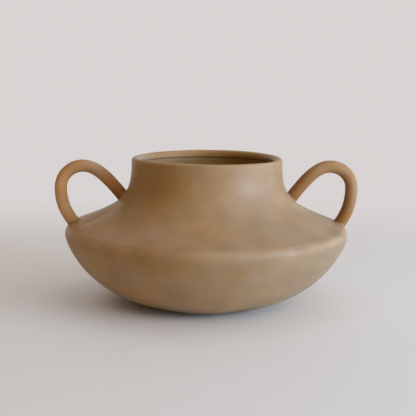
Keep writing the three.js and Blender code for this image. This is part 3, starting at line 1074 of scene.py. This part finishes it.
def seen_rays(tree):
    """One for the rays that are seen: those from the camera, in reflections and through glass."""
    rays = tree.nodes.new("ShaderNodeLightPath")
    mirrored = reckon(tree, "MAXIMUM", rays.outputs["Is Glossy Ray"], rays.outputs["Is Transmission Ray"])
    return reckon(tree, "MAXIMUM", rays.outputs["Is Camera Ray"], mirrored)


paper, tree, shader = new_finish("pale_paper")
shader.inputs["Base Color"].default_value = (*FLOOR_TONE, 1)
shader.inputs["Roughness"].default_value = PAPER_ROUGHNESS
shader.inputs["Specular IOR Level"].default_value = PAPER_SHINE
veil = spread(tree, away_from(tree, VEIL_SPOT), VEIL_NEAR, VEIL_FAR, 0, VEIL)
fading = reckon(tree, "MAXIMUM", veil, spread(tree, away_from(tree, (0, 0, 0)), BLEND_NEAR, BLEND_FAR))
share = reckon(tree, "MULTIPLY", fading, seen_rays(tree))
backdrop = tree.nodes.new("ShaderNodeEmission")
backdrop.inputs["Color"].default_value = (*BACKDROP_TONE, 1)
blend = tree.nodes.new("ShaderNodeMixShader")
tree.links.new(share, blend.inputs["Fac"])
tree.links.new(shader.outputs["BSDF"], blend.inputs[1])
tree.links.new(backdrop.outputs["Emission"], blend.inputs[2])
tree.links.new(blend.outputs["Shader"], tree.nodes["Material Output"].inputs["Surface"])
sweep.data.materials.append(paper)
print(f"{paper.name}: {len(tree.nodes)} nodes")

# %% [markdown]
# ## Light
# Soft daylight falls from the right. Most of it comes from a low, wide window in front of the vase,
# which gives the neck its broad satin gleam, and less from a window further round, a skylight and the
# ceiling. A sun lamp would cast hard shadows, so all four are wide area lamps.

# %% Lamps
LAMP_DISTANCE = 2.0
AIM = Vector((0, 0, 0.08))
DAYLIGHT = (0.76, 1.0, 1.31)
LAMPS = {
    "window": {"turn": 60, "rise": 10, "size": (1.5, 0.75), "power": 35.5},
    "side_window": {"turn": 120, "rise": 10, "size": (1.1, 0.75), "power": 5.0},
    "skylight": {"turn": 70, "rise": 42, "size": (1.4, 0.9), "power": 2},
    "ceiling": {"turn": 0, "rise": 85, "size": (1.8, 1.8), "power": 5.5},
}
for name, place in LAMPS.items():
    lamp = bpy.data.objects.new(name, bpy.data.lights.new(name, "AREA"))
    lamp.data.shape = "RECTANGLE"
    lamp.data.size, lamp.data.size_y = place["size"]
    lamp.data.energy = place["power"]
    lamp.data.color = DAYLIGHT
    turn, rise = math.radians(place["turn"]), math.radians(place["rise"])
    away = Vector((math.cos(rise) * math.sin(turn), -math.cos(rise) * math.cos(turn), math.sin(rise)))
    lamp.location = AIM + LAMP_DISTANCE * away
    lamp.rotation_euler = (-away).to_track_quat("-Z", "Y").to_euler()
    lamp.visible_camera = False
    scene.collection.objects.link(lamp)
print("lamps:", list(LAMPS))

# %% [markdown]
# ## The room
# The room's warm walls fill the shadows, more from the right and the front than from the left. Walls
# could be built, but the world's own light fills in as softly and needs no mesh. The eye sees the same
# pale tone there as on the sweep.

# %% Room
ROOM_TONE = (1.40, 1.0, 0.60)
ROOM_STRENGTH = 0.30
ROOM_LEAN = (0.21, -0.12, 0.0)

room = bpy.data.worlds.new("room")
scene.world = room
room.use_nodes = True
tree = room.node_tree
fill = tree.nodes["Background"]
fill.inputs["Color"].default_value = (*ROOM_TONE, 1)
towards = tree.nodes.new("ShaderNodeTexCoord")
leaning = tree.nodes.new("ShaderNodeVectorMath")
leaning.operation = "DOT_PRODUCT"
leaning.inputs[1].default_value = ROOM_LEAN
tree.links.new(towards.outputs["Generated"], leaning.inputs[0])
tree.links.new(reckon(tree, "ADD", leaning.outputs["Value"], ROOM_STRENGTH), fill.inputs["Strength"])
pale = tree.nodes.new("ShaderNodeBackground")
pale.inputs["Color"].default_value = (*BACKDROP_TONE, 1)
either = tree.nodes.new("ShaderNodeMixShader")
tree.links.new(seen_rays(tree), either.inputs["Fac"])
tree.links.new(fill.outputs["Background"], either.inputs[1])
tree.links.new(pale.outputs["Background"], either.inputs[2])
tree.links.new(either.outputs["Shader"], tree.nodes["World Output"].inputs["Surface"])
print("room:", ROOM_TONE, "at", ROOM_STRENGTH)

# %% [markdown]
# ## Hand over
# Every dressed piece rides on the vase's one body, stands for its piece of the model, which is hidden,
# and gets its finish. The size of the dressed vase is printed.

# %% Hand over
STANDS_FOR = {
    "foot_slab": ("base_disc", "bare_clay", wiped),
    "bowl_wall": ("lower_bowl", "fired_clay", clay),
    "shoulder_wall": ("shoulder", "fired_clay", clay),
    "neck_wall": ("neck_collar", "fired_clay", clay),
    "lip_coil": ("lip_ring", "fired_clay", clay),
    "left_coil": ("left_handle", "fired_clay", coil_clay),
    "right_coil": ("right_handle", "fired_clay", coil_clay),
    "left_upper_slip": ("left_upper_slip_fillet", "joint_slip", slip),
    "left_lower_slip": ("left_lower_slip_fillet", "joint_slip", slip),
    "right_upper_slip": ("right_upper_slip_fillet", "joint_slip", slip),
    "right_lower_slip": ("right_lower_slip_fillet", "joint_slip", slip),
}
for name, (node, record_slot, finish) in STANDS_FOR.items():
    piece = made[name]
    piece.data.materials.append(finish)
    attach(piece, "root")
    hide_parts(node)

low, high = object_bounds()
print("visual box in mm:", [round(1000 * side, 1) for side in high - low])
